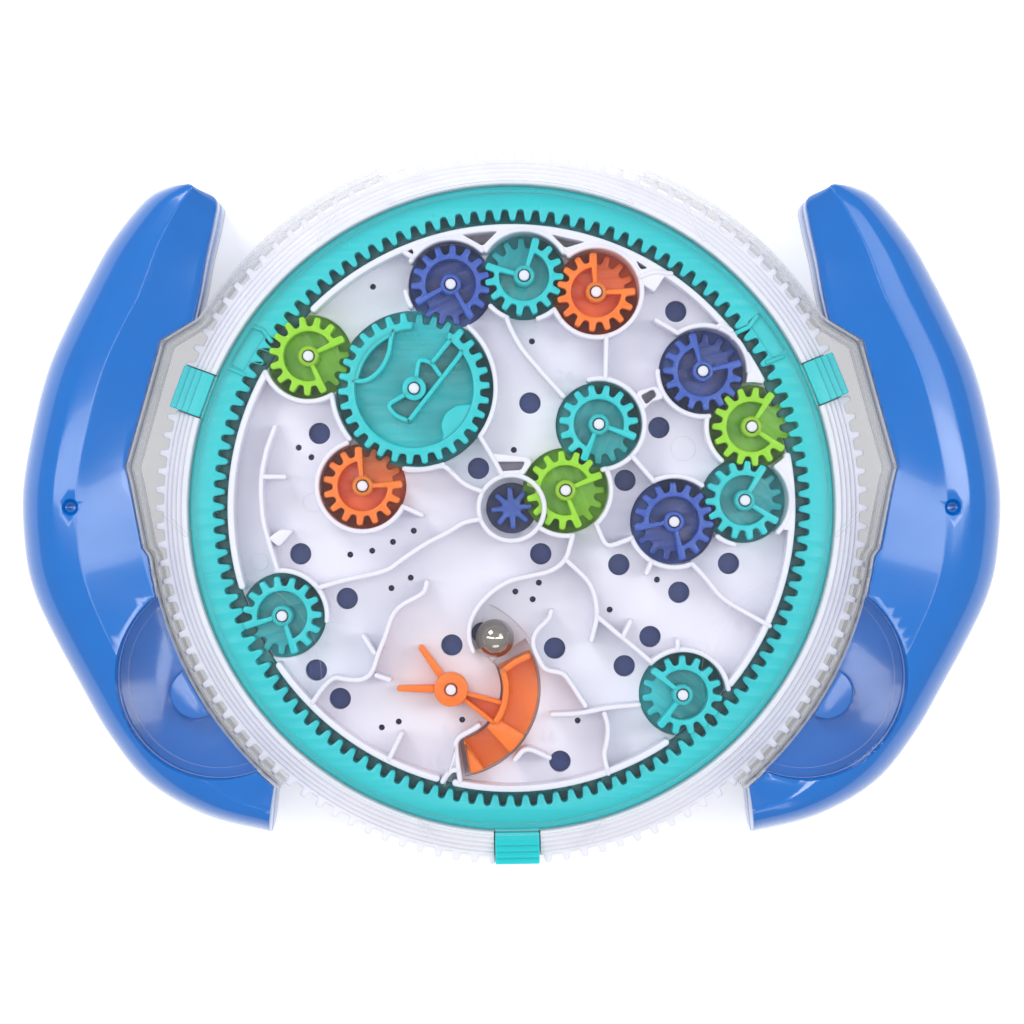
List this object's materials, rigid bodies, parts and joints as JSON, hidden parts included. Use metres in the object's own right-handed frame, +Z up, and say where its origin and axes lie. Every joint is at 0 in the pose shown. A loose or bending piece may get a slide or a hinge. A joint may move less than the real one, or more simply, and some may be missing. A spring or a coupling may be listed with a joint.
{
  "type": "gear maze puzzle",
  "caption": "Handheld ball maze in a clear round case between two blue grips; turning the toothed rim drives the gears that carry a steel ball.",
  "frame": {"origin": "on the disc's axis, at the height of the surface that the handles rest on", "axes": "+X towards the right handle, +Y towards the picture's top edge, +Z up out of the maze's face"},
  "size_m": [0.2526, 0.184, 0.034],
  "materials": {
    "blue_handle": "glossy moulded ABS",
    "clear_cover": "clear polished styrene",
    "white_plate": "satin moulded ABS",
    "frosted_wheel": "frosted translucent plastic",
    "turquoise": "glossy moulded plastic",
    "navy": "glossy moulded plastic",
    "dark_blue_disc": "glossy moulded plastic",
    "lime": "glossy moulded plastic",
    "orange": "glossy moulded plastic",
    "steel": "polished bearing steel",
    "zinc_screw": "zinc plated steel"
  },
  "bodies": {
    "frame": {"front_cover": "clear_cover", "rear_cover": "clear_cover", "maze_plate": "white_plate", "handle_left_front": "blue_handle", "handle_left_rear": "blue_handle", "handle_right_front": "blue_handle", "handle_right_rear": "blue_handle", "handle_screw_left_top": "zinc_screw", "handle_screw_left_middle": "zinc_screw", "handle_screw_left_low": "zinc_screw", "handle_screw_right_top": "zinc_screw", "handle_screw_right_middle": "zinc_screw", "handle_screw_right_low": "zinc_screw"},
    "wheel": {"drive_wheel": "frosted_wheel", "ring_gear": "turquoise", "rear_disc": "dark_blue_disc"},
    "lime_gear_left": {"lime_gear_left": "lime"},
    "big_gear": {"big_gear": "turquoise"},
    "navy_gear_top_left": {"navy_gear_top_left": "navy"},
    "teal_gear_top": {"teal_gear_top": "turquoise"},
    "orange_gear_top": {"orange_gear_top": "orange"},
    "orange_gear_left": {"orange_gear_left": "orange"},
    "lime_gear_right": {"lime_gear_right": "lime"},
    "navy_gear_right_top": {"navy_gear_right_top": "navy"},
    "teal_gear_right": {"teal_gear_right": "turquoise"},
    "navy_gear_right_low": {"navy_gear_right_low": "navy"},
    "teal_gear_bottom_left": {"teal_gear_bottom_left": "turquoise"},
    "teal_gear_bottom_right": {"teal_gear_bottom_right": "turquoise"},
    "lime_gear_centre": {"lime_gear_centre": "lime"},
    "teal_gear_centre": {"teal_gear_centre": "turquoise"},
    "lever": {"lever": "orange"},
    "ball": {"steel_ball": "steel"}
  },
  "joints": [
    {"name": "wheel_spin", "type": "hinge", "parent": "frame", "child": "wheel", "pos_m": [0, 0, 0.015], "axis": [0, 0, 1], "continuous": true},
    {"name": "lime_gear_left_spin", "type": "hinge", "parent": "frame", "child": "lime_gear_left", "pos_m": [-0.05231, 0.03913, 0.017], "axis": [0, 0, 1], "continuous": true},
    {"name": "big_gear_spin", "type": "hinge", "parent": "frame", "child": "big_gear", "pos_m": [-0.02513, 0.03082, 0.017], "axis": [0, 0, 1], "continuous": true},
    {"name": "navy_gear_top_left_spin", "type": "hinge", "parent": "frame", "child": "navy_gear_top_left", "pos_m": [-0.01568, 0.05763, 0.017], "axis": [0, 0, 1], "continuous": true},
    {"name": "teal_gear_top_spin", "type": "hinge", "parent": "frame", "child": "teal_gear_top", "pos_m": [0.00324, 0.05985, 0.017], "axis": [0, 0, 1], "continuous": true},
    {"name": "orange_gear_top_spin", "type": "hinge", "parent": "frame", "child": "orange_gear_top", "pos_m": [0.02181, 0.05563, 0.017], "axis": [0, 0, 1], "continuous": true},
    {"name": "orange_gear_left_spin", "type": "hinge", "parent": "frame", "child": "orange_gear_left", "pos_m": [-0.03838, 0.00568, 0.017], "axis": [0, 0, 1], "continuous": true},
    {"name": "lime_gear_right_spin", "type": "hinge", "parent": "frame", "child": "lime_gear_right", "pos_m": [0.06188, 0.02094, 0.017], "axis": [0, 0, 1], "continuous": true},
    {"name": "navy_gear_right_top_spin", "type": "hinge", "parent": "frame", "child": "navy_gear_right_top", "pos_m": [0.0493, 0.03526, 0.017], "axis": [0, 0, 1], "continuous": true},
    {"name": "teal_gear_right_spin", "type": "hinge", "parent": "frame", "child": "teal_gear_right", "pos_m": [0.06012, 0.00198, 0.017], "axis": [0, 0, 1], "continuous": true},
    {"name": "navy_gear_right_low_spin", "type": "hinge", "parent": "frame", "child": "navy_gear_right_low", "pos_m": [0.04188, -0.00353, 0.017], "axis": [0, 0, 1], "continuous": true},
    {"name": "teal_gear_bottom_left_spin", "type": "hinge", "parent": "frame", "child": "teal_gear_bottom_left", "pos_m": [-0.05911, -0.02781, 0.017], "axis": [0, 0, 1], "continuous": true},
    {"name": "teal_gear_bottom_right_spin", "type": "hinge", "parent": "frame", "child": "teal_gear_bottom_right", "pos_m": [0.04413, -0.04816, 0.017], "axis": [0, 0, 1], "continuous": true},
    {"name": "lime_gear_centre_spin", "type": "hinge", "parent": "frame", "child": "lime_gear_centre", "pos_m": [0.01395, 0.00456, 0.017], "axis": [0, 0, 1], "continuous": true},
    {"name": "teal_gear_centre_spin", "type": "hinge", "parent": "frame", "child": "teal_gear_centre", "pos_m": [0.02251, 0.02158, 0.017], "axis": [0, 0, 1], "continuous": true},
    {"name": "lever_tip", "type": "hinge", "parent": "frame", "child": "lever", "pos_m": [-0.0156, -0.0468, 0.018], "axis": [0, 0, 1], "range_deg": [-3, 3]},
    {"name": "ball_roll", "type": "slide", "parent": "frame", "child": "ball", "axis": [0.5476, 0.8368, 0], "range_m": [0, 0.0095]}
  ],
  "couplings": [
    {"joint": "lime_gear_left_spin", "follows": "wheel_spin", "ratio": 8},
    {"joint": "big_gear_spin", "follows": "wheel_spin", "ratio": -4},
    {"joint": "navy_gear_top_left_spin", "follows": "wheel_spin", "ratio": 8},
    {"joint": "teal_gear_top_spin", "follows": "wheel_spin", "ratio": -8},
    {"joint": "orange_gear_top_spin", "follows": "wheel_spin", "ratio": 8},
    {"joint": "orange_gear_left_spin", "follows": "wheel_spin", "ratio": 8},
    {"joint": "lime_gear_right_spin", "follows": "wheel_spin", "ratio": 8},
    {"joint": "navy_gear_right_top_spin", "follows": "wheel_spin", "ratio": -8},
    {"joint": "teal_gear_right_spin", "follows": "wheel_spin", "ratio": -8},
    {"joint": "navy_gear_right_low_spin", "follows": "wheel_spin", "ratio": 8},
    {"joint": "teal_gear_bottom_left_spin", "follows": "wheel_spin", "ratio": 8},
    {"joint": "teal_gear_bottom_right_spin", "follows": "wheel_spin", "ratio": 8},
    {"joint": "lime_gear_centre_spin", "follows": "wheel_spin", "ratio": -0.53333},
    {"joint": "teal_gear_centre_spin", "follows": "wheel_spin", "ratio": 0.53333}
  ]
}
